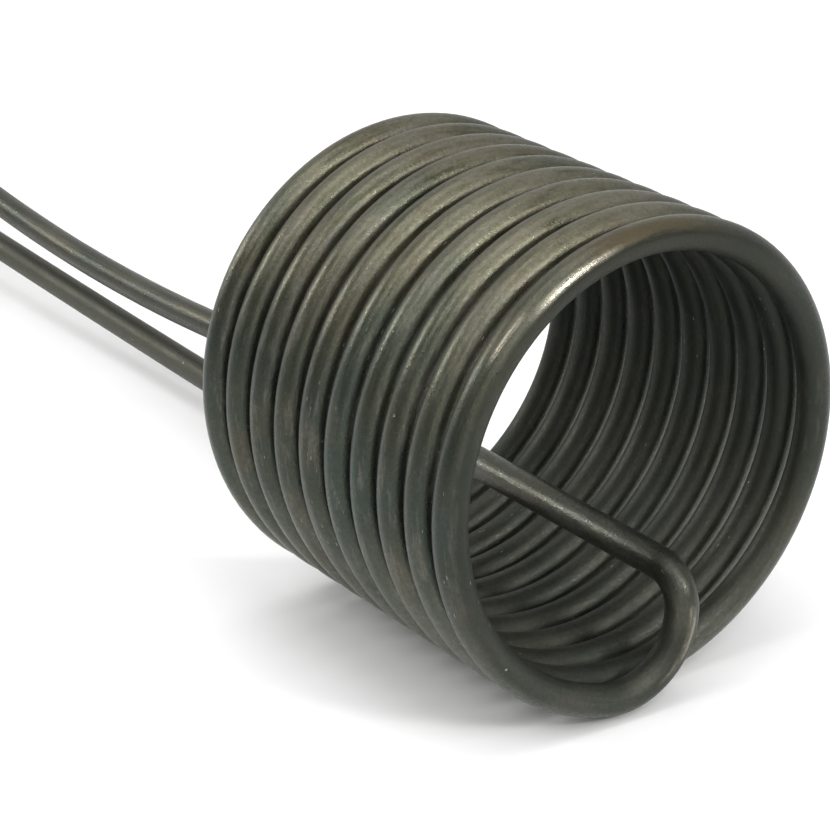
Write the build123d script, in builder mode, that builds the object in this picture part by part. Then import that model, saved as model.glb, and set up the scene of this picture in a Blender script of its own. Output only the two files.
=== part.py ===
from build123d import *
from math import cos, radians, sin
import os

# Immersion wort chiller: one stainless tube wound into a right-handed coil, with
# both leads leaving the same end and a brass garden-hose fitting on each lead.
# Units are millimetres.  The coil lies on its side on the plane z = 0 with its
# axis along Y.  The origin is on that plane, under the middle of the coil.  The
# curl and the return leg are at the -Y end, and both leads run towards +Y.

# Tube and winding
TUBE_OD = 9.53
TUBE_WALL = 0.9
COIL_RADIUS = 65.3            # to the centre line of the tube
COIL_PITCH = 12.4
COIL_START = 13.0             # degrees left of the bottom, at the -Y end
COIL_END = 58.7               # degrees below the right-hand side, at the +Y end
LEFT_TO_LEFT_TURNS = 9        # whole turns between the first and last left side

# Curl at the -Y end, from the last turn into the return leg
CURL_RADIUS = 21.2
CURL_ANGLE = 103.8
LEG_BEND_RADIUS = 9.8
LEG_LENGTH = 182.0

# Return lead: it dips a little, then bows up as it runs on
DIP_RADIUS = 250.0
DIP_ANGLE = 5.5
RETURN_BOW_RADIUS = 970.0
RETURN_BOW_ANGLE = 12.3

# Feed lead: it tucks inside the coil's outline before it turns along the axis
TUCK_RADIUS = 17.9
TUCK_ANGLE = 26.0
FEED_BEND_RADIUS = 14.9
FEED_RISE = 0.014             # upward slope of the lead as it leaves the coil
FEED_BOW_RADIUS = 13600.0
FEED_BOW_ANGLE = 1.23

# The two lead ends turn apart, so that their hoses clear each other, and droop
# until their fittings meet the plane z = 0
SPLAY_RADIUS = 45.0
RETURN_SPLAY = 38.0
RETURN_DROOP = 0.966          # downward share of the splay
RETURN_END_LENGTH = 46.0
FEED_SPLAY = 16.0
FEED_DROOP = 0.2481
FEED_END_LENGTH = 46.0

# Compression joint for 3/8 in tube
TUBE_SOCKET_RADIUS = TUBE_OD / 2 + 0.1
SOCKET_DEPTH = 9.5            # how far the tube reaches into its fitting
NUT_FLATS = 17.5
NUT_LENGTH = 14.0
NUT_BACK_WALL = 2.8
THREAD_RADIUS = 7.14          # 9/16 in thread, outside
THREAD_GAP = 0.05             # on radius, between nut and thread
THREAD_SHOWING = 3.0          # thread left in sight once the nut is tight
FERRULE_RADIUS = 5.95
FERRULE_GAP = 0.02            # on radius, round the tube
FERRULE_LENGTH = 6.4
CONE_DEPTH = 1.2
WATERWAY_RADIUS = 3.8

# Fitting bodies, with a 3/4 in garden-hose thread
HOSE_THREAD_RADIUS = 13.49
HOSE_THREAD_LENGTH = 14.0
HOSE_SPIGOT_BORE = 9.5
RELIEF_RADIUS = 12.3
RELIEF_LENGTH = 1.6
OUTLET_FLATS = 28.6
INLET_FLATS = 22.2
BODY_HEX_LENGTH = 7.0
HEX_START = -0.5              # from the tube's end, along the lead

# Swivel hose nut on the inlet
NECK_RADIUS = 8.0
NECK_LENGTH = 6.0
COLLAR_RADIUS = 11.8
COLLAR_THICKNESS = 2.4
SWIVEL_GAP = 0.3
SWIVEL_RADIUS = 15.5
SWIVEL_LENGTH = 17.0
SWIVEL_LIP = 3.0
SWIVEL_CAVITY_RADIUS = 13.7   # round the collar and washer
SWIVEL_THREAD_RADIUS = 12.6   # crests of the inside hose thread
GRIP_GROOVES = 24
GROOVE_RADIUS = 1.0
GROOVE_LENGTH = 12.0
WASHER_RADIUS = 13.4
WASHER_BORE = 7.95
WASHER_THICKNESS = 3.0

EDGE = 0.6                    # chamfer on turned edges
HEX_RIM = 0.15                # how far a hexagon's end circle lies inside its flats

UP = Vector(0, 0, 1)
LEFT = Vector(-1, 0, 0)
RIGHT = Vector(1, 0, 0)
AWAY = Vector(0, 1, 0)        # the way both leads run


class Route:
    """A tube's centre line, grown piece by piece from a point and a heading."""

    def __init__(self, start, heading):
        self.start = start
        self.first_heading = heading.normalized()
        self.point = start
        self.heading = self.first_heading
        self.pieces = []

    def straight(self, length):
        end = self.point + self.heading * length
        self.pieces.append((self.point, end))
        self.point = end

    def bend(self, radius, angle, towards):
        side = (towards - self.heading * towards.dot(self.heading)).normalized()

        def point_at(turn):
            along = self.heading * (radius * sin(turn))
            across = side * (radius * (1 - cos(turn)))
            return self.point + along + across

        turn = radians(angle)
        end = point_at(turn)
        self.pieces.append((self.point, point_at(turn / 2), end))
        self.heading = self.heading * cos(turn) + side * sin(turn)
        self.point = end

    def bend_to(self, radius, heading):
        self.bend(radius, self.heading.get_angle(heading), heading)

    def start_plane(self):
        return Plane(origin=self.start, z_dir=self.first_heading)

    def end_plane(self):
        """Plane square to the tube's end, facing out of it."""
        return Plane(origin=self.point, x_dir=self.heading.cross(UP), z_dir=self.heading)


def draw(pieces):
    """Draw a route's straights and arcs in the current line."""
    for points in pieces:
        if len(points) == 2:
            Line(*points)
        else:
            ThreePointArc(*points)


def tube_section(plane):
    """Ring-shaped section of the tube on a plane."""
    with BuildSketch(plane) as ring:
        Circle(TUBE_OD / 2)
        Circle(TUBE_OD / 2 - TUBE_WALL, mode=Mode.SUBTRACT)
    return ring.sketch


def turn(end, *outline, mode=Mode.ADD):
    """Revolve (radius, distance) points about the axis of a lead's end."""
    side = Plane(origin=end.origin, x_dir=end.x_dir, z_dir=-end.y_dir)
    with BuildSketch(side) as profile:
        with BuildLine():
            Polyline(*outline, close=True)
        make_face()
    revolve(profile.sketch, axis=Axis(end.origin, end.z_dir), mode=mode)


def bore(end, radius, start, stop):
    turn(end, (0, start), (radius, start), (radius, stop), (0, stop), mode=Mode.SUBTRACT)


def hexagon(end, flats, start, stop):
    """Hexagonal bar with its corners turned down at both ends."""
    with BuildSketch(end.offset(start)) as section:
        RegularPolygon(flats / 2, 6, major_radius=False)
    extrude(section.sketch, amount=stop - start)
    rim = flats / 2 - HEX_RIM
    corner = flats / 2 / cos(radians(30))
    slope = (corner - rim) * 0.6
    turn(
        end,
        (0, start), (rim, start), (corner, start + slope),
        (corner, stop - slope), (rim, stop), (0, stop),
        mode=Mode.INTERSECT,
    )


def compression_thread(end):
    """Threaded end that the compression nut screws onto, facing the tube."""
    tip = -SOCKET_DEPTH
    turn(
        end,
        (0, tip), (THREAD_RADIUS - EDGE, tip), (THREAD_RADIUS, tip + EDGE),
        (THREAD_RADIUS, HEX_START), (0, HEX_START),
    )


def tube_socket(end):
    """Socket that the tube's end stands in, with a cone for the ferrule."""
    tip = -SOCKET_DEPTH
    turn(
        end,
        (0, tip), (TUBE_SOCKET_RADIUS + CONE_DEPTH, tip),
        (TUBE_SOCKET_RADIUS, tip + CONE_DEPTH), (TUBE_SOCKET_RADIUS, 0), (0, 0),
        mode=Mode.SUBTRACT,
    )


# Winding, from the -Y end to the +Y end
turned_degrees = (90 - COIL_START) + 360 * LEFT_TO_LEFT_TURNS + 180 + COIL_END
coil_length = COIL_PITCH * turned_degrees / 360
axis_height = COIL_RADIUS + TUBE_OD / 2
start_angle = radians(COIL_START)
coil_plane = Plane(
    origin=(0, -coil_length / 2, axis_height),
    x_dir=(-sin(start_angle), 0, -cos(start_angle)),
    z_dir=AWAY,
)
with BuildLine() as winding:
    Helix(COIL_PITCH, coil_length, COIL_RADIUS)
coil = coil_plane.from_local_coords(winding.edge())

# Return lead: curl, leg through the coil, dip, bow and splay
return_route = Route(coil @ 0, (coil % 0) * -1)
inward = Vector(0, coil_plane.origin.Y, axis_height) - return_route.start
return_route.bend(CURL_RADIUS, CURL_ANGLE, inward)
return_route.bend_to(LEG_BEND_RADIUS, AWAY)
return_route.straight(LEG_LENGTH)
return_route.bend(DIP_RADIUS, DIP_ANGLE, UP * -1)
return_route.bend(RETURN_BOW_RADIUS, RETURN_BOW_ANGLE, UP)
return_route.bend(SPLAY_RADIUS, RETURN_SPLAY, LEFT - UP * RETURN_DROOP)
return_route.straight(RETURN_END_LENGTH)

# Feed lead: tuck, turn along the axis, bow and splay
feed_route = Route(coil @ 1, coil % 1)
inward = Vector(0, feed_route.start.Y, axis_height) - feed_route.start
feed_route.bend(TUCK_RADIUS, TUCK_ANGLE, inward)
feed_route.bend_to(FEED_BEND_RADIUS, AWAY + UP * FEED_RISE)
feed_route.bend(FEED_BOW_RADIUS, FEED_BOW_ANGLE, UP)
feed_route.bend(SPLAY_RADIUS, FEED_SPLAY, RIGHT - UP * FEED_DROOP)
feed_route.straight(FEED_END_LENGTH)

inlet_end = feed_route.end_plane()
outlet_end = return_route.end_plane()

os.makedirs("parts", exist_ok=True)

# Coil tube: winding and both leads, bent from one length
with BuildPart() as coil_tube:
    sweep(tube_section(Plane(origin=coil @ 0, z_dir=coil % 0)), path=coil, is_frenet=True)
    for route in (return_route, feed_route):
        with BuildLine(mode=Mode.PRIVATE) as lead_line:
            draw(route.pieces)
        sweep(tube_section(route.start_plane()), path=lead_line.wire())
coil_tube.part.label = "coil_tube"
export_step(coil_tube.part, "parts/coil_tube.step")

# Compression nut and ferrule, the same on both leads
nut_stop = HEX_START - THREAD_SHOWING
nut_start = nut_stop - NUT_LENGTH
nut_seat = nut_start + NUT_BACK_WALL
for side_name, end in (("inlet", inlet_end), ("outlet", outlet_end)):
    with BuildPart() as compression_nut:
        hexagon(end, NUT_FLATS, nut_start, nut_stop)
        bore(end, TUBE_SOCKET_RADIUS, nut_start, nut_seat)
        bore(end, THREAD_RADIUS + THREAD_GAP, nut_seat, nut_stop)
    compression_nut.part.label = f"{side_name}_compression_nut"
    export_step(compression_nut.part, f"parts/{side_name}_compression_nut.step")

    with BuildPart() as ferrule:
        bore_radius = TUBE_OD / 2 + FERRULE_GAP
        ferrule_stop = nut_seat + FERRULE_LENGTH
        lip_radius = bore_radius + 0.05
        turn(
            end,
            (bore_radius, nut_seat), (lip_radius, nut_seat),
            (FERRULE_RADIUS, nut_seat + CONE_DEPTH),
            (FERRULE_RADIUS, ferrule_stop - CONE_DEPTH),
            (lip_radius, ferrule_stop), (bore_radius, ferrule_stop),
        )
    ferrule.part.label = f"{side_name}_ferrule"
    export_step(ferrule.part, f"parts/{side_name}_ferrule.step")

# Inlet body: compression thread, hexagon, and a neck and collar for the swivel nut
hex_stop = HEX_START + BODY_HEX_LENGTH
neck_stop = hex_stop + NECK_LENGTH
collar_stop = neck_stop + COLLAR_THICKNESS
with BuildPart() as inlet_body:
    hexagon(inlet_end, INLET_FLATS, HEX_START, hex_stop)
    compression_thread(inlet_end)
    turn(
        inlet_end,
        (0, hex_stop), (NECK_RADIUS, hex_stop), (NECK_RADIUS, neck_stop),
        (COLLAR_RADIUS, neck_stop), (COLLAR_RADIUS, collar_stop), (0, collar_stop),
    )
    tube_socket(inlet_end)
    bore(inlet_end, WATERWAY_RADIUS, 0, collar_stop)
inlet_body.part.label = "inlet_body"
export_step(inlet_body.part, "parts/inlet_body.step")

# Swivel hose nut: turns freely on the inlet body, held by the collar
swivel_seat = neck_stop - SWIVEL_GAP
swivel_start = swivel_seat - SWIVEL_LIP
swivel_stop = swivel_start + SWIVEL_LENGTH
washer_start = collar_stop + SWIVEL_GAP
washer_stop = washer_start + WASHER_THICKNESS
groove_start = swivel_start + (SWIVEL_LENGTH - GROOVE_LENGTH) / 2
with BuildPart() as inlet_hose_nut:
    turn(
        inlet_end,
        (0, swivel_start), (SWIVEL_RADIUS - EDGE, swivel_start),
        (SWIVEL_RADIUS, swivel_start + EDGE), (SWIVEL_RADIUS, swivel_stop - EDGE),
        (SWIVEL_RADIUS - EDGE, swivel_stop), (0, swivel_stop),
    )
    bore(inlet_end, NECK_RADIUS + SWIVEL_GAP, swivel_start, swivel_seat)
    bore(inlet_end, SWIVEL_CAVITY_RADIUS, swivel_seat, washer_stop)
    bore(inlet_end, SWIVEL_THREAD_RADIUS, washer_stop, swivel_stop)
    with BuildSketch(inlet_end.offset(groove_start)):
        with PolarLocations(SWIVEL_RADIUS, GRIP_GROOVES):
            Circle(GROOVE_RADIUS)
    extrude(amount=GROOVE_LENGTH, mode=Mode.SUBTRACT)
inlet_hose_nut.part.label = "inlet_hose_nut"
export_step(inlet_hose_nut.part, "parts/inlet_hose_nut.step")

# Rubber washer: held behind the swivel nut's thread, so it turns with the nut
with BuildPart() as inlet_hose_washer:
    with BuildSketch(inlet_end.offset(washer_start)):
        Circle(WASHER_RADIUS)
        Circle(WASHER_BORE, mode=Mode.SUBTRACT)
    extrude(amount=washer_stop - washer_start)
inlet_hose_washer.part.label = "inlet_hose_washer"
export_step(inlet_hose_washer.part, "parts/inlet_hose_washer.step")

# Outlet body: compression thread, hexagon, relief and a male hose thread
relief_stop = hex_stop + RELIEF_LENGTH
hose_thread_stop = relief_stop + HOSE_THREAD_LENGTH
with BuildPart() as outlet_body:
    hexagon(outlet_end, OUTLET_FLATS, HEX_START, hex_stop)
    compression_thread(outlet_end)
    turn(
        outlet_end,
        (0, hex_stop), (RELIEF_RADIUS, hex_stop), (RELIEF_RADIUS, relief_stop),
        (HOSE_THREAD_RADIUS - EDGE, relief_stop),
        (HOSE_THREAD_RADIUS, relief_stop + EDGE),
        (HOSE_THREAD_RADIUS, hose_thread_stop - EDGE),
        (HOSE_THREAD_RADIUS - EDGE, hose_thread_stop), (0, hose_thread_stop),
    )
    tube_socket(outlet_end)
    bore(outlet_end, WATERWAY_RADIUS, 0, hose_thread_stop)
    bore(outlet_end, HOSE_SPIGOT_BORE, relief_stop, hose_thread_stop)
outlet_body.part.label = "outlet_body"
export_step(outlet_body.part, "parts/outlet_body.step")
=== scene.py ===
"""Immersion wort chiller: the looks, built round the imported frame.

Route and fitting dimensions are in millimetres, as in the part's own source, and
are turned into metres when a mesh is made.  The coil lies on its side on z = 0
with its axis along Y, the curl at -Y and both leads running towards +Y.
"""
from collections import namedtuple
from math import asin, ceil, cos, pi, radians, sin, sqrt, tau

import bpy
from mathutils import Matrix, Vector


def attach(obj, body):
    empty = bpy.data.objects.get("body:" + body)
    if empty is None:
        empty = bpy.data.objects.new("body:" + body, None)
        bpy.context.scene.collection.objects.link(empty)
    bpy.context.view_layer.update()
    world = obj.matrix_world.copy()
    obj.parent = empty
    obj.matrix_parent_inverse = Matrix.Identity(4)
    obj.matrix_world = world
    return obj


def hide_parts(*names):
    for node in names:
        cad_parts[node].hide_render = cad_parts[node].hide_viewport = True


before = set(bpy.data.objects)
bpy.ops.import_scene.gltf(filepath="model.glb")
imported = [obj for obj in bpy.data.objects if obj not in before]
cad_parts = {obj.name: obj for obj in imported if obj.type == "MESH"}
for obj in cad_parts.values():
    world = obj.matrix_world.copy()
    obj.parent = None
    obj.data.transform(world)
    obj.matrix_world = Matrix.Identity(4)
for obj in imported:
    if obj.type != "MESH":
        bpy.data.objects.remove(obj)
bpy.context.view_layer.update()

MM = 0.001
UP = Vector((0, 0, 1))
LEFT = Vector((-1, 0, 0))
RIGHT = Vector((1, 0, 0))
AWAY = Vector((0, 1, 0))

# Tube and winding
TUBE_RADIUS = 4.765
TUBE_BORE = 3.865
COIL_RADIUS = 65.3
COIL_PITCH = 12.4
COIL_START = radians(13.0)    # left of the bottom, at the -Y end
COIL_END = 58.7               # degrees below the right-hand side, at the +Y end
LEFT_TO_LEFT_TURNS = 9
COIL_TURN = radians(90 + 360 * LEFT_TO_LEFT_TURNS + 180 + COIL_END) - COIL_START
COIL_LENGTH = COIL_PITCH * COIL_TURN / tau
AXIS_HEIGHT = COIL_RADIUS + TUBE_RADIUS

# Bends of the two leads: radius, degrees
CURL = (21.2, 103.8)
LEG_BEND_RADIUS = 9.8
LEG_LENGTH = 182.0
DIP = (250.0, 5.5)
RETURN_BOW = (970.0, 12.3)
TUCK = (17.9, 26.0)
FEED_BEND_RADIUS = 14.9
FEED_RISE = 0.014
FEED_BOW = (13600.0, 1.23)
SPLAY_RADIUS = 45.0
RETURN_SPLAY = 38.0
RETURN_DROOP = 0.966
FEED_SPLAY = 16.0
FEED_DROOP = 0.2481
LEAD_END_LENGTH = 46.0

# Mesh fineness
TUBE_SIDES = 32
BEND_STEP_ANGLE = 3.0
BEND_STEP_LENGTH = 5.0
HEX_SIDES = 96
NUT_SIDES = 288
THREAD_STEPS = 10             # stations along one pitch
TUBE_SHARP_ANGLE = radians(50)
FITTING_SHARP_ANGLE = radians(32)

# Compression joints
TUBE_CLEARANCE = 0.1
SOCKET_RADIUS = TUBE_RADIUS + TUBE_CLEARANCE
SOCKET_DEPTH = 9.5
NUT_FLATS = 17.5
NUT_START = -17.5
NUT_SEAT = -14.7
NUT_STOP = -3.5
JOINT_THREAD = 7.14
JOINT_THREAD_PITCH = 1.06
JOINT_THREAD_DEPTH = 0.55
JOINT_THREAD_FADE = 0.5
JOINT_THREAD_HIDDEN = 1.0     # how far the cut thread runs on inside the nut
CONE_DEPTH = 1.2
WATERWAY_RADIUS = 3.8

# Edges and tooth shape of every fitting
EDGE = 0.6
BEVEL = 0.3
HEX_CORNER = 0.985            # share of a hexagon's corner that is left
HEX_RIM = 0.15                # how far a hexagon's end circle lies inside its flats
HEX_END_SLOPE = 0.6
THREAD_ROOT = 0.22            # shares of a half pitch that are root and flank
THREAD_FLANK = 0.52
STEP = 0.05                   # smallest gap or step between two faces

# Fitting bodies
HEX_START = -0.5
HEX_STOP = 6.5
INLET_FLATS = 22.2
OUTLET_FLATS = 28.6
NECK_RADIUS = 8.0
NECK_STOP = 12.5
COLLAR_RADIUS = 11.8
COLLAR_STOP = 14.9
RELIEF_RADIUS = 12.0
RELIEF_STOP = 8.1
HOSE_THREAD_RADIUS = 13.49
HOSE_THREAD_STOP = 22.1
HOSE_THREAD_PITCH = 2.21
HOSE_THREAD_DEPTH = 1.25
HOSE_THREAD_FADE = 1.6
MOUTH_BEVEL = 0.4
SPIGOT_BORE = 9.5

# Swivel nut and washer
SWIVEL_START = 9.2
SWIVEL_SEAT = 12.2
SWIVEL_STOP = 26.2
SWIVEL_RADIUS = 15.5
SWIVEL_CAVITY = 13.7
SWIVEL_CREST = 12.6
SWIVEL_MOUTH_BEVEL = 0.5
SWIVEL_THREAD_FADE = 1.2
SWIVEL_CLEARANCE = 0.3
SWIVEL_ROUND = 0.2
GRIP_GROOVES = 24
GROOVE_RADIUS = 1.0
GROOVE_START = 11.7
GROOVE_STOP = 23.7
GROOVE_END = 0.02             # length over which a groove closes
WASHER_START = 15.2
WASHER_STOP = 18.2
WASHER_RADIUS = 13.4
WASHER_BORE = 7.95
WASHER_ROUND = 0.35
WASHER_FACET = 0.1

# How the looks are told.  A span is (low, high, start, stop): a share goes smoothly from
# start to stop, or from 0 to 1, as a value goes from low to high.  A tone is a span with
# the shade that it mixes in, as 0-255 display values.  A noise may be drawn out or moved.
# Places and relief are in metres: sideways along X, forwards along Y, height along Z, and
# spread the distance from the coil's axis.
Tone = namedtuple("Tone", "low high start stop shade")
Noise = namedtuple("Noise", "scale detail roughness stretch shift", defaults=(0.5, None, None))
Mark = namedtuple("Mark", "spread forwards sideways")
Relief = namedtuple("Relief", "height strength")

# Stainless tube: noises
CLOUDS = Noise(26.0, 4.0, 0.55)
SMUDGES = Noise(1.0, 6.0, 0.68, stretch=(60, 320, 320))
DRAWING = Noise(1.0, 3.0, 0.65, stretch=(40, 1300, 1300))
GRIT = Noise(900.0, 4.0, 0.7)
BROWN_AREAS = Noise(45.0, 5.0, 0.6, shift=(3, 1, 7))
TEAL_AREAS = Noise(32.0, 3.0, shift=(8, 2, 1))
STREAKS = Noise(1.0, 3.0, stretch=(14, 620, 620))
CHIPPED_AREAS = Noise(60.0, 1.0)
SCRATCHED_AREAS = Noise(38.0, 3.0, shift=(5, 5, 2))

# Stainless tube: painted light and shade by height (lighter underside and crown, darker flanks),
# then blotches, smudges, drawing lines and pits
CLOUD_WANDER = 0.04           # metres that the clouds move the height colours
UNDERSIDE_PAINTED_LIGHT = (100, 101, 92)
FLANK_PAINTED_SHADE = Tone(0.035, 0.09, 0.0, 1.0, (55, 61, 54))  # by height
CROWN_PAINTED_LIGHT = (108, 105, 88)
CROWN_LIGHT_HEIGHT = (0.1, 0.165)
# The crown's painted light fades towards +X, leaving painted shade on that side
CROWN_LIGHT_SIDE = (0.0, 0.04, 1.0, 0.15)
CONTRAST = (0.0, 1.0, 0.65, 1.0)
BROWN = Tone(0.5, 0.66, 0.0, 0.45, (92, 82, 66))
TEAL = Tone(0.5, 0.68, 0.0, 0.4, (54, 70, 64))
PALE_SMUDGE = Tone(0.5, 0.66, 0.0, 0.55, (120, 115, 106))
OLIVE_SMUDGE = Tone(0.34, 0.5, 0.6, 0.0, (60, 62, 43))
DRAWN_LINE = Tone(0.5, 0.78, 0.0, 0.35, (56, 57, 51))
PIT = Tone(0.3, 0.6, 0.35, 0.0, (42, 43, 38))

# Stainless tube: the leads behind the coil, told apart by height, with painted shade on the upper
# lead's sides and painted light on the lower lead
LEADS_BEGIN = (0.068, 0.085)
UPPER_LEAD = (0.022, 0.028)
# Painted shade on the upper lead, strongest where its metal faces sideways and down
LEAD_SIDE_PAINTED_SHADE = Tone(0.2, 0.85, 0.7, 0.35, (38, 39, 33))  # by how far the metal faces up
# Painted light: the lower lead made paler where the upper lead shades it
LEAD_PAINTED_LIGHT = Tone(*UPPER_LEAD, 0.45, 0.0, (132, 130, 116))  # by height
LEAD_STREAK = Tone(0.5, 0.6, 0.0, 0.3, (112, 104, 82))

# Stainless tube: painted shade inside the turns, on the first turn's front and on the curl
PAINTED_SHADE = (39, 41, 35)
LEG_ENDS = (0.045, 0.052)
INNER_FACE = (0.0622, 0.066, 1.0, 0.0)
FRONT_DEPTH = (-0.0595, -0.053, 1.0, 0.0)
FRONT_SPREAD = (0.0665, 0.069, 1.0, 0.4)
PAINTED_SHADE_LOW = (0.004, 0.03, 0.56, 0.68)
PAINTED_SHADE_HIGH = (0.112, 0.13, 0.0, 0.22)
# Painted shade on the curl
CURL_PAINTED_SHADE = Tone(0.055, 0.062, 0.5, 0.0, (42, 44, 38))  # by spread
CURL_DEPTH = (-0.056, -0.048, 1.0, 0.0)

# Stainless tube: marks on the first turn.  Each direction has a centre, the distance
# over which the mark is whole and the distance at which it is gone.
COIL_TOP = (0.095, 0.105)
STAIN_PLACE = Mark((0.0692, 0.0006, 0.0032), (-0.0583, 0.001, 0.003), (-0.003, 0.010, 0.022))
STAIN = Tone(0.4, 0.56, 0.1, 0.65, (84, 73, 50))
# Painted highlights: lighter rubbed metal where highlights fall on the first turn's ridge and the
# curl's front, also made smoother
LONG_RUB_HIGHLIGHT = Mark((0.0677, 0.0002, 0.0015), (-0.0606, 0.0005, 0.0014), (-0.027, 0.007, 0.017))
SHORT_RUB_HIGHLIGHT = Mark((0.0694, 0.0001, 0.0009), (-0.0594, 0.0002, 0.0009), (-0.0485, 0.003, 0.007))
CURL_RUB_HIGHLIGHT_DEPTH = (-0.0666, -0.0663, 1.0, 0.0)
CURL_RUB_HIGHLIGHT_SPREAD = (0.058, 0.063, 1.0, 0.0)
CURL_RUB_HIGHLIGHT_SMUDGES = (0.42, 0.55, 0.4, 1.6)
RUB_HIGHLIGHT_GRIT = (0.3, 0.6, 0.75, 1.0)
PAINTED_HIGHLIGHT_SHARE = 0.33
PAINTED_HIGHLIGHT_COLOUR = (172, 166, 150)
RUB_SMOOTHING = (0.0, 1.0, 1.0, 0.5)

# Stainless tube: bright flecks and short scratches
CHIP_SCALE = 110.0
CHIP_SIZE = (0.03, 0.05, 1.0, 0.0)
CHIP_CHOICE = (0.55, 0.59)
SCRATCH_STRETCH = (260, 1500, 1500)
SCRATCH_SCALE = 0.6
SCRATCH_SIZE = (0.07, 0.12, 1.0, 0.0)
SCRATCH_CHOICE = (0.55, 0.64)
BARE_SHARE = 0.42
BARE_METAL = (190, 186, 172)

# Stainless tube: gloss and relief
DULLNESS = (0.3, 0.72, 0.3, 0.44)
FILM_DULLNESS = 0.16
POLISHED_GRAINS = (0.54, 0.68)
POLISH = 0.16
DRAWING_DEPTH = 0.5
SKIN_RELIEF = Relief(0.00016, 0.6)
GRIT_RELIEF = Relief(0.00014, 0.8)

# Brass fittings
TOOL_MARKS = Noise(5200.0, 2.0, 0.7)
TARNISH_AREAS = Noise(160.0, 5.0, 0.6)
HANDLED_AREAS = Noise(90.0, 4.0, 0.55, shift=(2, 6, 4))
CLEAN_BRASS = (206, 174, 108)
TARNISH = Tone(0.4, 0.68, 0.0, 1.0, (158, 124, 70))
HANDLED = Tone(0.5, 0.72, 0.0, 0.55, (122, 98, 62))
BRASS_DULLNESS = (0.35, 0.7, 0.26, 0.46)
TOOL_RELIEF = Relief(0.00002, 0.6)

# Rubber washer
BLOOM_AREAS = Noise(420.0, 5.0, 0.6)
RUBBER_GRAIN = Noise(2600.0, 2.0)
RUBBER = (30, 30, 31)
BLOOM = Tone(0.4, 0.75, 0.0, 1.0, (52, 51, 50))
RUBBER_DULLNESS = (0.3, 0.7, 0.55, 0.8)
RUBBER_RELIEF = Relief(0.00003, 0.6)

# Floor
FLOOR_HALF = 60.0
FLOOR_GRAIN = Noise(40.0, 4.0)
FLOOR_DULL = (246, 246, 246)
FLOOR_WHITE = (250, 250, 250)
FLOOR_DULLNESS = (0.3, 0.7, 0.7, 0.8)

# Camera, at the height and side from which the chiller was seen
CAMERA_PLACE = Vector((-0.4611, -0.6017, 0.3850))
CAMERA_AIM = Vector((0.5329, 0.7521, -0.3879))
SENSOR_WIDTH = 36.0
FOCAL_LENGTH = 125.8

# Studio: a world that is brightest towards one side, a wide patch of sky and softboxes
WHITE = (1, 1, 1, 1)
GLOW_TOWARDS = (0.85, 0.5, 0.15)
GLOW = (-0.6, 0.6, 0.3, 0.8)
SKY_AIM = Vector((0.3, -0.05, -1.63))
SKY_SPREAD = radians(48)
SKY_STRENGTH = 1.05
COIL_MIDDLE = Vector((0, 0.05, 0.07))
SOFTBOXES = (                 # name, place, diameter, watts
    ("front_top", (-0.2, -1.2, 1.45), 0.8, 8),
    ("front", (0.3, -1.35, 0.85), 0.28, 8),
    ("left", (-1.0, -0.1, 1.3), 0.4, 3),
    ("fill", (-0.8, -1.3, 0.6), 1.2, 5),
    ("back_left", (-1.1, 1.75, 0.95), 0.45, 12),
)


class Route:
    """A tube's centre line as close (point, heading) samples, grown bend by bend."""

    def __init__(self, point, heading):
        self.point = point
        self.heading = heading.normalized()
        self.samples = [(self.point, self.heading)]

    def add(self, point, heading):
        self.samples.append((point, heading))

    def straight(self, length):
        start = self.point
        steps = ceil(length / BEND_STEP_LENGTH)
        for step in range(1, steps + 1):
            self.add(start + self.heading * (length * step / steps), self.heading)
        self.point = self.samples[-1][0]

    def bend(self, radius, degrees, towards):
        start, ahead = self.point, self.heading
        side = (towards - ahead * towards.dot(ahead)).normalized()
        length = radius * radians(degrees)
        steps = ceil(max(degrees / BEND_STEP_ANGLE, length / BEND_STEP_LENGTH))
        for step in range(1, steps + 1):
            turn = radians(degrees) * step / steps
            point = start + ahead * (radius * sin(turn)) + side * (radius * (1 - cos(turn)))
            self.add(point, ahead * cos(turn) + side * sin(turn))
        self.point, self.heading = self.samples[-1]

    def bend_to(self, radius, heading):
        from_angle = self.heading.angle(heading)
        self.bend(radius, from_angle * 180 / pi, heading)


class End:
    """Where a lead ends: the axis that its fittings are turned about."""

    def __init__(self, route):
        self.origin = route.point
        self.z = route.heading
        self.x = self.z.cross(UP).normalized()
        self.y = self.z.cross(self.x)

    def place(self, radius, angle, along):
        across = self.x * cos(angle) + self.y * sin(angle)
        return self.origin + self.z * along + across * radius


def coil_sample(turn):
    """Point and heading on the coil, a number of radians on from its -Y end."""
    first = Vector((-sin(COIL_START), 0, -cos(COIL_START)))
    second = Vector((-cos(COIL_START), 0, sin(COIL_START)))
    rise = COIL_PITCH / tau
    centre = Vector((0, rise * turn - COIL_LENGTH / 2, AXIS_HEIGHT))
    point = centre + (first * cos(turn) + second * sin(turn)) * COIL_RADIUS
    heading = (second * cos(turn) - first * sin(turn)) * COIL_RADIUS + AWAY * rise
    return point, heading.normalized()


def inward(point):
    """Direction from a point on the coil square to the coil's axis."""
    return Vector((0, point.y, AXIS_HEIGHT)) - point


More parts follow.
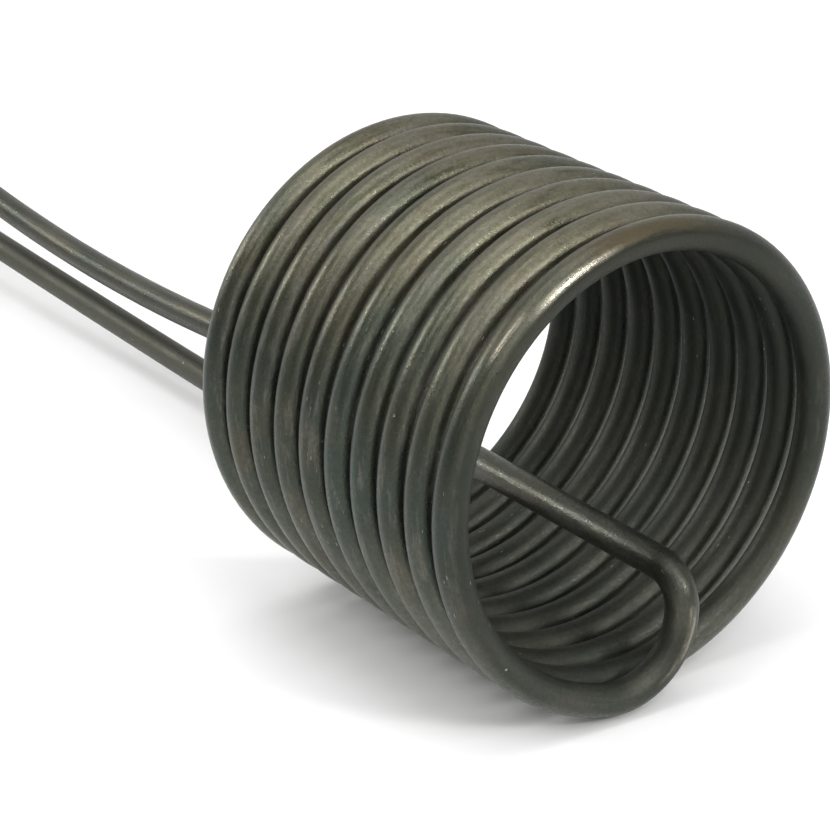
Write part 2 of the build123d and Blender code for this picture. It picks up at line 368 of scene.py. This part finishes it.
def chiller_routes():
    """The coil's samples and the two leads' routes, each growing away from the coil."""
    steps = ceil(COIL_TURN * 180 / pi / BEND_STEP_ANGLE)
    coil = [coil_sample(COIL_TURN * step / steps) for step in range(steps + 1)]

    point, heading = coil[0]
    returning = Route(point, -heading)
    returning.bend(*CURL, inward(point))
    returning.bend_to(LEG_BEND_RADIUS, AWAY)
    returning.straight(LEG_LENGTH)
    returning.bend(*DIP, -UP)
    returning.bend(*RETURN_BOW, UP)
    returning.bend(SPLAY_RADIUS, RETURN_SPLAY, LEFT - UP * RETURN_DROOP)
    returning.straight(LEAD_END_LENGTH)

    point, heading = coil[-1]
    feeding = Route(point, heading)
    feeding.bend(*TUCK, inward(point))
    feeding.bend_to(FEED_BEND_RADIUS, AWAY + UP * FEED_RISE)
    feeding.bend(*FEED_BOW, UP)
    feeding.bend(SPLAY_RADIUS, FEED_SPLAY, RIGHT - UP * FEED_DROOP)
    feeding.straight(LEAD_END_LENGTH)
    return coil, returning, feeding


def add_object(name, data):
    """Object with the given data, put into the scene."""
    made = bpy.data.objects.new(name, data)
    bpy.context.scene.collection.objects.link(made)
    return made


def make_mesh(name, points, faces, unrolled, sharp_angle):
    """Mesh object in metres.  unrolled places each point along and round its own axis,
    as if the piece were straight, so that a material can follow the metal."""
    mesh = bpy.data.meshes.new(name)
    mesh.from_pydata([point * MM for point in points], [], faces)
    along = mesh.attributes.new("unrolled", "FLOAT_VECTOR", "POINT")
    along.data.foreach_set("vector", [value * MM for place in unrolled for value in place])
    mesh.shade_smooth()
    mesh.set_sharp_from_angle(angle=sharp_angle)
    mesh.validate()
    return add_object(name, mesh)


def ring_faces(rings, sides, first=0, flip=False, closed=False):
    """Quads between successive rings of points."""
    faces = []
    for ring in range(rings if closed else rings - 1):
        here = first + ring * sides
        there = first + (ring + 1) % rings * sides
        for side in range(sides):
            after = (side + 1) % sides
            quad = (here + side, here + after, there + after, there + side)
            faces.append(quad[::-1] if flip else quad)
    return faces


def swept_tube(name, samples):
    """Open-ended tube along (point, heading) samples, with its inner wall."""
    across = samples[0][1].orthogonal().normalized()
    previous = samples[0]
    travelled = 0.0
    walls = {TUBE_RADIUS: [], TUBE_BORE: []}
    unrolled = {TUBE_RADIUS: [], TUBE_BORE: []}
    for point, heading in samples:
        across.rotate(previous[1].rotation_difference(heading))
        travelled += (point - previous[0]).length
        previous = (point, heading)
        beside = heading.cross(across)
        for radius, wall in walls.items():
            for side in range(TUBE_SIDES):
                angle = tau * side / TUBE_SIDES
                wall.append(point + (across * cos(angle) + beside * sin(angle)) * radius)
                unrolled[radius].append((travelled, radius * cos(angle), radius * sin(angle)))
    rings = len(samples)
    inner = rings * TUBE_SIDES
    faces = ring_faces(rings, TUBE_SIDES)
    faces += ring_faces(rings, TUBE_SIDES, first=inner, flip=True)
    for ring, flip in ((0, True), (rings - 1, False)):
        outside = ring * TUBE_SIDES
        inside = inner + outside
        for side in range(TUBE_SIDES):
            after = (side + 1) % TUBE_SIDES
            quad = (outside + side, outside + after, inside + after, inside + side)
            faces.append(quad[::-1] if flip else quad)
    points = walls[TUBE_RADIUS] + walls[TUBE_BORE]
    places = unrolled[TUBE_RADIUS] + unrolled[TUBE_BORE]
    return make_mesh(name, points, faces, places, TUBE_SHARP_ANGLE)


def fixed(radius, along):
    """A round station of a turned profile."""
    return lambda angle: (radius, along)


def hex_radius(flats, angle):
    """Distance from a hexagonal bar's axis to its side, with the corners eased."""
    corner = flats / 2 / cos(pi / 6)
    side = flats / 2 / cos(angle % (pi / 3) - pi / 6)
    return min(side, corner * HEX_CORNER)


def hex_stations(flats, start, stop):
    """A hexagon's stations, its corners turned down at both ends."""
    rim = flats / 2 - HEX_RIM

    def start_edge(angle):
        radius = hex_radius(flats, angle)
        return radius, start + (radius - rim) * HEX_END_SLOPE

    def stop_edge(angle):
        radius = hex_radius(flats, angle)
        return radius, stop - (radius - rim) * HEX_END_SLOPE

    return [fixed(rim, start), start_edge, stop_edge, fixed(rim, stop)]


def thread_stations(root, crest, pitch, start, stop, lead_in):
    """Stations of a helical thread between its root and crest radii, fading at both ends."""
    steps = ceil((stop - start) / (pitch / THREAD_STEPS))

    def station(along):
        from_end = min(along - start, stop - along)
        fade = min(1.0, from_end / lead_in)

        def at(angle):
            phase = (along / pitch - angle / tau) % 1
            tooth = 1 - abs(2 * phase - 1)
            height = min(1.0, max(0.0, (tooth - THREAD_ROOT) / THREAD_FLANK))
            return root + (crest - root) * height * fade, along

        return at

    return [station(start + (stop - start) * step / steps) for step in range(steps + 1)]


def grip_stations():
    """Outside of the swivel nut: round ends and a grooved grip between them."""
    reach = asin(GROOVE_RADIUS / SWIVEL_RADIUS)

    def grooved(along):
        def at(angle):
            spacing = tau / GRIP_GROOVES
            off = (angle + spacing / 2) % spacing - spacing / 2
            if abs(off) >= reach:
                return SWIVEL_RADIUS, along
            across = SWIVEL_RADIUS * sin(off)
            return SWIVEL_RADIUS * cos(off) - sqrt(GROOVE_RADIUS ** 2 - across ** 2), along

        return at

    return [
        fixed(SWIVEL_RADIUS - EDGE, SWIVEL_START),
        fixed(SWIVEL_RADIUS - SWIVEL_ROUND, SWIVEL_START + SWIVEL_ROUND),
        fixed(SWIVEL_RADIUS, SWIVEL_START + EDGE),
        fixed(SWIVEL_RADIUS, GROOVE_START - GROOVE_END),
        grooved(GROOVE_START),
        grooved(GROOVE_STOP),
        fixed(SWIVEL_RADIUS, GROOVE_STOP + GROOVE_END),
        fixed(SWIVEL_RADIUS, SWIVEL_STOP - EDGE),
        fixed(SWIVEL_RADIUS - SWIVEL_ROUND, SWIVEL_STOP - SWIVEL_ROUND),
        fixed(SWIVEL_RADIUS - EDGE, SWIVEL_STOP),
    ]


def turned(name, end, stations, sides):
    """Closed ring of metal turned about a lead's end from a loop of stations."""
    points = []
    unrolled = []
    for station in stations:
        for side in range(sides):
            angle = tau * side / sides
            radius, along = station(angle)
            points.append(end.place(radius, angle, along))
            unrolled.append((along, radius * cos(angle), radius * sin(angle)))
    faces = ring_faces(len(stations), sides, closed=True)
    return make_mesh(name, points, faces, unrolled, FITTING_SHARP_ANGLE)


def bored(*profile):
    """Round stations from (radius, distance) points."""
    return [fixed(radius, along) for radius, along in profile]


def joint_thread():
    """Outside of the compression thread, from its tip to the hexagon."""
    root = JOINT_THREAD - JOINT_THREAD_DEPTH
    tip = -SOCKET_DEPTH
    cut_start = NUT_STOP - JOINT_THREAD_HIDDEN
    plain = bored((root, tip), (JOINT_THREAD, tip + EDGE), (JOINT_THREAD, cut_start))
    return plain + thread_stations(
        root, JOINT_THREAD, JOINT_THREAD_PITCH, cut_start, HEX_START, JOINT_THREAD_FADE
    )


def tube_socket():
    """Inside of a fitting from its waterway out to the compression thread's tip."""
    tip = -SOCKET_DEPTH
    return bored(
        (WATERWAY_RADIUS, 0), (SOCKET_RADIUS, 0),
        (SOCKET_RADIUS, tip + CONE_DEPTH), (SOCKET_RADIUS + CONE_DEPTH, tip),
    )


def compression_nut(name, end):
    """Hexagonal nut that is open over the compression thread and seats behind the ferrule."""
    outside = hex_stations(NUT_FLATS, NUT_START, NUT_STOP)
    gap = JOINT_THREAD + STEP
    inside = bored(
        (gap + BEVEL, NUT_STOP), (gap, NUT_STOP - BEVEL), (gap, NUT_SEAT),
        (SOCKET_RADIUS, NUT_SEAT), (SOCKET_RADIUS, NUT_START + BEVEL),
        (SOCKET_RADIUS + BEVEL, NUT_START),
    )
    return turned(name, end, outside + inside, HEX_SIDES)


def inlet_body(end):
    """Adapter with the collar that the swivel nut turns on."""
    outside = joint_thread() + hex_stations(INLET_FLATS, HEX_START, HEX_STOP)
    collar = bored(
        (NECK_RADIUS, HEX_STOP), (NECK_RADIUS, NECK_STOP),
        (COLLAR_RADIUS - BEVEL, NECK_STOP), (COLLAR_RADIUS, NECK_STOP + BEVEL),
        (COLLAR_RADIUS, COLLAR_STOP - BEVEL), (COLLAR_RADIUS - BEVEL, COLLAR_STOP),
        (WATERWAY_RADIUS, COLLAR_STOP),
    )
    return turned("inlet_fitting", end, outside + collar + tube_socket(), HEX_SIDES)


def outlet_body(end):
    """Adapter with the male hose thread."""
    root = HOSE_THREAD_RADIUS - HOSE_THREAD_DEPTH
    thread_stop = HOSE_THREAD_STOP - MOUTH_BEVEL
    outside = joint_thread() + hex_stations(OUTLET_FLATS, HEX_START, HEX_STOP)
    neck = bored((RELIEF_RADIUS, HEX_STOP), (RELIEF_RADIUS, RELIEF_STOP - STEP))
    thread = thread_stations(
        root, HOSE_THREAD_RADIUS, HOSE_THREAD_PITCH, RELIEF_STOP, thread_stop, HOSE_THREAD_FADE
    )
    mouth = bored(
        (root - MOUTH_BEVEL, HOSE_THREAD_STOP), (SPIGOT_BORE + MOUTH_BEVEL, HOSE_THREAD_STOP),
        (SPIGOT_BORE, thread_stop), (SPIGOT_BORE, RELIEF_STOP), (WATERWAY_RADIUS, RELIEF_STOP),
    )
    return turned("outlet_fitting", end, outside + neck + thread + mouth + tube_socket(), HEX_SIDES)


def swivel_nut(end):
    """Grooved nut with the female hose thread."""
    bore = NECK_RADIUS + SWIVEL_CLEARANCE
    root = SWIVEL_CAVITY
    mouth = bored((root + SWIVEL_MOUTH_BEVEL, SWIVEL_STOP))
    thread = thread_stations(
        root, SWIVEL_CREST, HOSE_THREAD_PITCH,
        WASHER_STOP, SWIVEL_STOP - SWIVEL_MOUTH_BEVEL, SWIVEL_THREAD_FADE
    )
    seat = bored(
        (root, WASHER_STOP - STEP), (root, SWIVEL_SEAT), (bore, SWIVEL_SEAT), (bore, SWIVEL_START)
    )
    return turned("swivel_hose_nut", end, grip_stations() + mouth + thread[::-1] + seat, NUT_SIDES)


def washer(end):
    """Flat rubber ring with eased corners."""
    profile = bored(
        (WASHER_RADIUS - WASHER_ROUND, WASHER_START),
        (WASHER_RADIUS - WASHER_FACET, WASHER_START + WASHER_FACET),
        (WASHER_RADIUS, WASHER_START + WASHER_ROUND),
        (WASHER_RADIUS, WASHER_STOP - WASHER_ROUND),
        (WASHER_RADIUS - WASHER_FACET, WASHER_STOP - WASHER_FACET),
        (WASHER_RADIUS - WASHER_ROUND, WASHER_STOP),
        (WASHER_BORE + WASHER_ROUND, WASHER_STOP),
        (WASHER_BORE + WASHER_FACET, WASHER_STOP - WASHER_FACET),
        (WASHER_BORE, WASHER_STOP - WASHER_ROUND),
        (WASHER_BORE, WASHER_START + WASHER_ROUND),
        (WASHER_BORE + WASHER_FACET, WASHER_START + WASHER_FACET),
        (WASHER_BORE + WASHER_ROUND, WASHER_START),
    )
    return turned("hose_washer", end, profile, HEX_SIDES)


def linear(value):
    """Linear light from a 0-255 display value."""
    share = value / 255
    return share / 12.92 if share <= 0.04045 else ((share + 0.055) / 1.055) ** 2.4


def paint(shade):
    """Opaque shader colour from red, green and blue display values."""
    return (*map(linear, shade), 1.0)


class Nodes:
    """A node tree, put together with short calls."""

    def __init__(self, tree):
        self.tree = tree

    def node(self, kind, **settings):
        made = self.tree.nodes.new("ShaderNode" + kind)
        for name, value in settings.items():
            setattr(made, name, value)
        return made

    def feed(self, socket, value):
        if isinstance(value, bpy.types.NodeSocket):
            self.tree.links.new(value, socket)
        else:
            socket.default_value = value

    def filled(self, made, values):
        """A node with its first inputs fed in order."""
        for socket, value in zip(made.inputs, values):
            self.feed(socket, value)
        return made

    def position(self, system="Object"):
        return self.node("TexCoord").outputs[system]

    def parts(self, vector):
        return self.filled(self.node("SeparateXYZ"), (vector,)).outputs

    def math(self, operation, *values):
        return self.filled(self.node("Math", operation=operation), values).outputs[0]

    def vector_math(self, operation, *values):
        made = self.filled(self.node("VectorMath", operation=operation), values)
        return made.outputs["Value" if operation in ("LENGTH", "DOT_PRODUCT") else "Vector"]

    def noise(self, vector, noise):
        if noise.shift:
            vector = self.vector_math("ADD", vector, noise.shift)
        if noise.stretch:
            vector = self.vector_math("MULTIPLY", vector, noise.stretch)
        made = self.node("TexNoise")
        self.feed(made.inputs["Vector"], vector)
        self.feed(made.inputs["Scale"], noise.scale)
        self.feed(made.inputs["Detail"], noise.detail)
        self.feed(made.inputs["Roughness"], noise.roughness)
        return made.outputs["Fac"]

    def spots(self, vector, scale):
        """Distance to the nearest of many scattered points."""
        made = self.node("TexVoronoi")
        self.feed(made.inputs["Vector"], vector)
        self.feed(made.inputs["Scale"], scale)
        return made.outputs["Distance"]

    def span(self, value, low, high, start=0.0, stop=1.0):
        """Smooth step of a value from one range to another, held at both ends."""
        made = self.node("MapRange", interpolation_type="SMOOTHSTEP")
        return self.filled(made, (value, low, high, start, stop)).outputs[0]

    def near(self, value, centre, whole, gone):
        """One close to a centre value, fading to nothing at the given distance."""
        off = self.math("ABSOLUTE", self.math("SUBTRACT", value, centre))
        return self.span(off, whole, gone, 1.0, 0.0)

    def every(self, *shares):
        """Product of several shares."""
        product = shares[0]
        for share in shares[1:]:
            product = self.math("MULTIPLY", product, share)
        return product

    def mix(self, share, first, second):
        made = self.node("Mix", data_type="RGBA")
        self.feed(made.inputs[0], share)
        self.feed(made.inputs[6], first)
        self.feed(made.inputs[7], second)
        return made.outputs[2]

    def tint(self, colour, value, tone, *shares):
        """Colour with a tone mixed in by its driving value, as far as the shares allow."""
        *reach, shade = tone
        return self.mix(self.every(self.span(value, *reach), *shares), colour, paint(shade))

    def bump(self, height, relief, under=None):
        made = self.node("Bump")
        self.feed(made.inputs["Strength"], relief.strength)
        self.feed(made.inputs["Distance"], relief.height)
        self.feed(made.inputs["Height"], height)
        if under is not None:
            self.feed(made.inputs["Normal"], under)
        return made.outputs[0]


class Finish(Nodes):
    """A material, with constants for its shader."""

    def __init__(self, name, **constants):
        self.material = bpy.data.materials.new(name)
        self.material.use_nodes = True
        super().__init__(self.material.node_tree)
        self.shader = self.tree.nodes["Principled BSDF"]
        for socket, value in constants.items():
            self.shader.inputs[socket.replace("_", " ")].default_value = value

    def set(self, socket, value):
        self.feed(self.shader.inputs[socket], value)

    def unrolled(self):
        return self.node("Attribute", attribute_name="unrolled").outputs["Vector"]


class AgedStainless(Finish):
    """Dull, heat-darkened stainless with painted light and shade by height: lighter olive where it
    faces up, darker green-grey on the flanks.
    """

    def __init__(self):
        super().__init__("aged_stainless", Metallic=0.8, Specular_IOR_Level=0.5)
        self.here = self.position()
        self.metal = self.unrolled()
        self.sideways, self.forwards, self.height = self.parts(self.here)
        above_axis = self.vector_math("ADD", self.here, (0, 0, -AXIS_HEIGHT * MM))
        across_axis = self.vector_math("MULTIPLY", above_axis, (1, 0, 1))
        self.spread = self.vector_math("LENGTH", across_axis)
        self.off_the_leg = self.span(self.spread, *LEG_ENDS)
        self.inner_face = self.span(self.spread, *INNER_FACE)

        self.smudges = self.noise(self.metal, SMUDGES)
        self.drawing = self.noise(self.metal, DRAWING)
        self.grit = self.noise(self.here, GRIT)
        self.bare = self.chips_and_scratches()
        self.rubs_and_highlights = self.rub_and_highlight_places()
        self.rub_and_highlight = self.every(self.rubs_and_highlights, self.span(self.grit, *RUB_HIGHLIGHT_GRIT))

        colour = self.painted_light_and_weathering()
        colour = self.lead_painted_light_and_streaks(colour)
        colour = self.film_and_painted_shade(colour)
        colour = self.tint(colour, self.smudges, STAIN, self.mark(STAIN_PLACE))
        colour = self.mix(self.every(self.bare, BARE_SHARE), colour, paint(BARE_METAL))
        # Painted highlight colour on the rubbed places
        colour = self.mix(self.every(self.rub_and_highlight, PAINTED_HIGHLIGHT_SHARE), colour, paint(PAINTED_HIGHLIGHT_COLOUR))
        self.set("Base Color", colour)
        self.gloss()
        self.relief()

    def mark(self, place):
        """A mark's share of a point on the upper side of the first turn."""
        return self.every(
            self.near(self.spread, *place.spread),
            self.near(self.forwards, *place.forwards),
            self.near(self.sideways, *place.sideways),
            self.span(self.height, *COIL_TOP),
        )

    def chips_and_scratches(self):
        """Flecks where the skin is chipped, and short scratches along the tube."""
        chips = self.span(self.spots(self.here, CHIP_SCALE), *CHIP_SIZE)
        chipped = self.span(self.noise(self.here, CHIPPED_AREAS), *CHIP_CHOICE)
        drawn_out = self.vector_math("MULTIPLY", self.metal, SCRATCH_STRETCH)
        scratches = self.span(self.spots(drawn_out, SCRATCH_SCALE), *SCRATCH_SIZE)
        scratched = self.span(self.noise(self.here, SCRATCHED_AREAS), *SCRATCH_CHOICE)
        return self.math(
            "MAXIMUM", self.every(chips, chipped), self.every(scratches, scratched)
        )

    def rub_and_highlight_places(self):
        """Painted highlights on smoother rubbed metal: two places on the first turn's ridge, and
        the front of the curl.
        """
        ridge = self.math("MAXIMUM", self.mark(LONG_RUB_HIGHLIGHT), self.mark(SHORT_RUB_HIGHLIGHT))
        curl = self.every(
            self.span(self.forwards, *CURL_RUB_HIGHLIGHT_DEPTH),
            self.span(self.spread, *CURL_RUB_HIGHLIGHT_SPREAD),
            self.span(self.smudges, *CURL_RUB_HIGHLIGHT_SMUDGES),
        )
        return self.math("MAXIMUM", ridge, curl)

    def painted_light_and_weathering(self):
        """Painted light and shade by height, broken up by blotches, smudges, drawing lines and
        pits.
        """
        wander = self.every(self.noise(self.here, CLOUDS), CLOUD_WANDER)
        wandering = self.math("ADD", self.height, wander)
        lit_crown = self.every(
            self.span(wandering, *CROWN_LIGHT_HEIGHT), self.span(self.sideways, *CROWN_LIGHT_SIDE)
        )
        contrast = self.span(lit_crown, *CONTRAST)
        # Painted light on the underside and crown, painted shade on the flanks
        colour = self.tint(paint(UNDERSIDE_PAINTED_LIGHT), wandering, FLANK_PAINTED_SHADE)
        colour = self.mix(lit_crown, colour, paint(CROWN_PAINTED_LIGHT))
        colour = self.tint(colour, self.noise(self.here, BROWN_AREAS), BROWN, contrast)
        colour = self.tint(colour, self.noise(self.here, TEAL_AREAS), TEAL)
        colour = self.tint(colour, self.smudges, PALE_SMUDGE, contrast)
        colour = self.tint(colour, self.smudges, OLIVE_SMUDGE, contrast)
        colour = self.tint(colour, self.drawing, DRAWN_LINE)
        return self.tint(colour, self.grit, PIT)

    def lead_painted_light_and_streaks(self, colour):
        """Behind the coil: painted shade on the upper lead, most on its sides, and painted light on
        the lower one, with streaks.
        """
        behind = self.span(self.forwards, *LEADS_BEGIN)
        upper_lead = self.span(self.height, *UPPER_LEAD)
        facing_up = self.parts(self.position("Normal"))[2]
        colour = self.tint(colour, facing_up, LEAD_SIDE_PAINTED_SHADE, behind, upper_lead)
        colour = self.tint(colour, self.height, LEAD_PAINTED_LIGHT, behind)
        return self.tint(colour, self.noise(self.metal, STREAKS), LEAD_STREAK, behind)

    def film_and_painted_shade(self, colour):
        """Painted shade inside the turns, on the first turn's front and on the curl."""
        front_face = self.every(
            self.span(self.forwards, *FRONT_DEPTH), self.span(self.spread, *FRONT_SPREAD)
        )
        shade_strength = self.math(
            "ADD", self.span(self.height, *PAINTED_SHADE_LOW), self.span(self.height, *PAINTED_SHADE_HIGH)
        )
        shaded_places = self.math("MAXIMUM", self.inner_face, front_face)
        colour = self.mix(self.every(shaded_places, self.off_the_leg, shade_strength), colour, paint(PAINTED_SHADE))
        front = self.span(self.forwards, *CURL_DEPTH)
        return self.tint(colour, self.spread, CURL_PAINTED_SHADE, front)

    def gloss(self):
        """Dull skin with small polished grains that break up its highlights."""
        film_and_painted_shade = self.every(self.inner_face, self.off_the_leg, FILM_DULLNESS)
        dull = self.math("ADD", self.span(self.smudges, *DULLNESS), film_and_painted_shade)
        grains = self.span(self.grit, *POLISHED_GRAINS)
        polished = self.math("MAXIMUM", self.rub_and_highlight, self.math("MAXIMUM", self.bare, grains))
        self.set("Roughness", self.math("SUBTRACT", dull, self.every(polished, POLISH)))

    def relief(self):
        """Drawing lines and smudges, with grit over them that a rub has smoothed."""
        skin = self.math("ADD", self.every(self.drawing, DRAWING_DEPTH), self.smudges)
        worn = self.bump(self.math("SUBTRACT", skin, self.bare), SKIN_RELIEF)
        grain = self.every(self.grit, self.span(self.rubs_and_highlights, *RUB_SMOOTHING))
        self.set("Normal", self.bump(grain, GRIT_RELIEF, worn))


def machined_brass():
    """Turned brass with fine tool rings and a slight tarnish."""
    finish = Finish("machined_brass", Metallic=1.0)
    here = finish.position()
    along, across, beside = finish.parts(finish.unrolled())
    squares = (finish.math("MULTIPLY", across, across), finish.math("MULTIPLY", beside, beside))
    radius = finish.math("POWER", finish.math("ADD", *squares), 0.5)
    rings = finish.filled(finish.node("CombineXYZ"), (along, radius)).outputs[0]
    tarnish = finish.noise(here, TARNISH_AREAS)
    colour = finish.tint(paint(CLEAN_BRASS), tarnish, TARNISH)
    colour = finish.tint(colour, finish.noise(here, HANDLED_AREAS), HANDLED)
    finish.set("Base Color", colour)
    finish.set("Roughness", finish.span(tarnish, *BRASS_DULLNESS))
    finish.set("Normal", finish.bump(finish.noise(rings, TOOL_MARKS), TOOL_RELIEF))
    return finish.material


def black_rubber():
    """Black rubber with a faint grey bloom."""
    finish = Finish("black_rubber", Metallic=0.0, Specular_IOR_Level=0.3)
    here = finish.position()
    bloom = finish.noise(here, BLOOM_AREAS)
    finish.set("Base Color", finish.tint(paint(RUBBER), bloom, BLOOM))
    finish.set("Roughness", finish.span(bloom, *RUBBER_DULLNESS))
    finish.set("Normal", finish.bump(finish.noise(here, RUBBER_GRAIN), RUBBER_RELIEF))
    return finish.material


def pale_floor():
    """Matt, nearly white floor."""
    finish = Finish("pale_floor", Specular_IOR_Level=0.2)
    grain = finish.noise(finish.position(), FLOOR_GRAIN)
    finish.set("Base Color", finish.mix(grain, paint(FLOOR_DULL), paint(FLOOR_WHITE)))
    finish.set("Roughness", finish.span(grain, *FLOOR_DULLNESS))
    return finish.material


def dress(piece, body, slot, material, *nodes):
    """Give a finished piece its material and body, and hide the CAD nodes it stands for. The slot
    is not used.
    """
    piece.data.materials.append(material)
    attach(piece, body)
    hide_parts(*nodes)


def point_along(thing, direction):
    """Turn a camera or a light to look in a direction."""
    thing.rotation_euler = direction.to_track_quat("-Z", "Y").to_euler()


def add_camera():
    lens = bpy.data.cameras.new("camera")
    lens.sensor_width = SENSOR_WIDTH
    lens.lens = FOCAL_LENGTH
    camera = add_object("camera", lens)
    camera.location = CAMERA_PLACE
    point_along(camera, CAMERA_AIM)
    return camera


def add_floor():
    mesh = bpy.data.meshes.new("floor")
    corners = [(-1, -1, 0), (1, -1, 0), (1, 1, 0), (-1, 1, 0)]
    points = [Vector(corner) * FLOOR_HALF for corner in corners]
    mesh.from_pydata(points, [], [(0, 1, 2, 3)])
    mesh.materials.append(pale_floor())
    return add_object("floor", mesh)


def studio_world():
    """Plain white studio that dims towards the front left."""
    world = bpy.data.worlds.new("studio")
    world.use_nodes = True
    nodes = Nodes(world.node_tree)
    facing = nodes.vector_math("DOT_PRODUCT", nodes.position("Generated"), GLOW_TOWARDS)
    background = world.node_tree.nodes["Background"]
    nodes.feed(background.inputs["Strength"], nodes.span(facing, *GLOW))
    nodes.feed(background.inputs["Color"], WHITE)
    return world


def add_sky():
    """Light from a wide patch of sky, the same over the whole floor."""
    lamp = bpy.data.lights.new("overhead", "SUN")
    lamp.angle = SKY_SPREAD
    lamp.energy = SKY_STRENGTH
    point_along(add_object("overhead", lamp), SKY_AIM)


def add_softbox(name, place, size, watts):
    """Round softbox aimed at the coil, out of sight of the camera."""
    lamp = bpy.data.lights.new(name, "AREA")
    lamp.shape = "DISK"
    lamp.size = size
    lamp.energy = watts
    light = add_object(name, lamp)
    light.location = place
    light.visible_camera = False
    point_along(light, COIL_MIDDLE - Vector(place))


bpy.context.scene.camera = add_camera()

# The chiller
coil, returning, feeding = chiller_routes()
back_to_coil = [(point, -heading) for point, heading in returning.samples[:0:-1]]
tube = swept_tube("tube", back_to_coil + coil + feeding.samples[1:])
inlet_end = End(feeding)
outlet_end = End(returning)

stainless = AgedStainless().material
brass = machined_brass()
rubber = black_rubber()
coil_body = "coil_and_fittings"
dress(tube, coil_body, "stainless_tube", stainless, "coil_tube")
for side, end in (("inlet", inlet_end), ("outlet", outlet_end)):
    nut = compression_nut(f"{side}_tube_nut", end)
    dress(nut, coil_body, "brass", brass, f"{side}_compression_nut")
    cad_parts[f"{side}_ferrule"].data.materials.clear()
    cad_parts[f"{side}_ferrule"].data.materials.append(brass)
dress(inlet_body(inlet_end), coil_body, "brass", brass, "inlet_body")
dress(outlet_body(outlet_end), coil_body, "brass", brass, "outlet_body")
dress(swivel_nut(inlet_end), "hose_nut", "brass", brass, "inlet_hose_nut")
dress(washer(inlet_end), "hose_nut", "black_rubber", rubber, "inlet_hose_washer")

# Floor and light
floor = add_floor()
bpy.context.scene.world = studio_world()
bpy.context.scene.view_settings.view_transform = "Standard"
add_sky()
for softbox in SOFTBOXES:
    add_softbox(*softbox)
